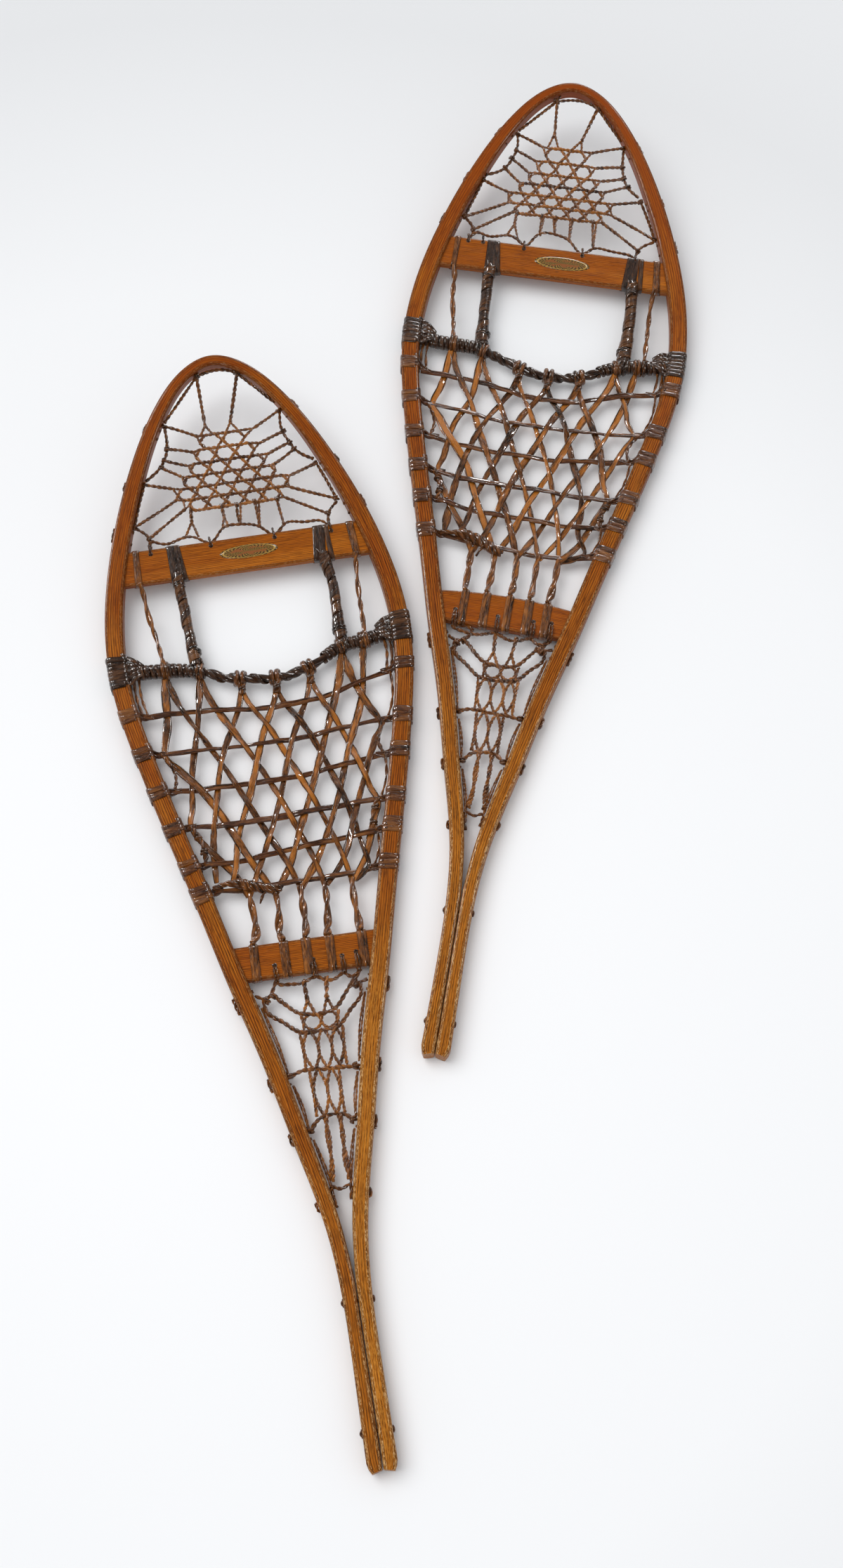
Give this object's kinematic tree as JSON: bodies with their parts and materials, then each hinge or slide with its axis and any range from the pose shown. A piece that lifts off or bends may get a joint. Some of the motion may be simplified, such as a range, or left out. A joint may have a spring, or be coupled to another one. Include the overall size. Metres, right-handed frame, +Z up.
{
  "type": "snowshoes",
  "caption": "Pair of traditional bent-ash snowshoes with rawhide lacing, upturned toes, tenoned crossbars and long riveted tails, laid side by side.",
  "frame": {"origin": "on the ground, at the middle of the pair's bounding box", "axes": "+Y from the tails towards the toes, +X to the right of a person facing the toes, +Z up"},
  "size_m": [0.6672, 1.6095, 0.0781],
  "materials": {
    "ash_varnished": "steam-bent ash under worn amber spar varnish, fine dark lengthwise grain",
    "rawhide_dark": "thick rawhide, dark brown and glossy with varnish",
    "rawhide_net": "twisted and flat rawhide strands, amber brown, varnished",
    "rivet_copper": "darkened copper rivets and burrs",
    "oval_transfer": "thin printed oval ornament in gold and black under varnish, no lettering"
  },
  "bodies": {
    "left_snowshoe": {"left_bow": "ash_varnished", "left_front_crossbar": "ash_varnished", "left_rear_crossbar": "ash_varnished", "left_tail_rivet_rear": "rivet_copper", "left_tail_rivet_front": "rivet_copper", "left_tail_burr_rear": "rivet_copper", "left_tail_burr_front": "rivet_copper", "left_oval_transfer": "oval_transfer", "left_toe_selvage": "rawhide_net", "left_toe_net": "rawhide_net", "left_master_cord": "rawhide_dark", "left_toe_bar_outboard": "rawhide_dark", "left_toe_bar_inboard": "rawhide_dark", "left_side_strand_outboard": "rawhide_net", "left_side_strand_inboard": "rawhide_net", "left_cross_strand_1": "rawhide_net", "left_cross_strand_2": "rawhide_net", "left_cross_strand_3": "rawhide_net", "left_cross_strand_4": "rawhide_net", "left_cross_strand_5": "rawhide_net", "left_cross_strand_6": "rawhide_net", "left_foot_net": "rawhide_net", "left_tail_selvage": "rawhide_net", "left_tail_net": "rawhide_net"},
    "right_snowshoe": {"right_bow": "ash_varnished", "right_front_crossbar": "ash_varnished", "right_rear_crossbar": "ash_varnished", "right_tail_rivet_rear": "rivet_copper", "right_tail_rivet_front": "rivet_copper", "right_tail_burr_rear": "rivet_copper", "right_tail_burr_front": "rivet_copper", "right_oval_transfer": "oval_transfer", "right_toe_selvage": "rawhide_net", "right_toe_net": "rawhide_net", "right_master_cord": "rawhide_dark", "right_toe_bar_outboard": "rawhide_dark", "right_toe_bar_inboard": "rawhide_dark", "right_side_strand_outboard": "rawhide_net", "right_side_strand_inboard": "rawhide_net", "right_cross_strand_1": "rawhide_net", "right_cross_strand_2": "rawhide_net", "right_cross_strand_3": "rawhide_net", "right_cross_strand_4": "rawhide_net", "right_cross_strand_5": "rawhide_net", "right_cross_strand_6": "rawhide_net", "right_foot_net": "rawhide_net", "right_tail_selvage": "rawhide_net", "right_tail_net": "rawhide_net"}
  },
  "joints": [
    {"name": "right_shoe_lift", "type": "slide", "parent": "left_snowshoe", "child": "right_snowshoe", "axis": [0, 0, 1], "range_m": [0, 0.3]}
  ]
}
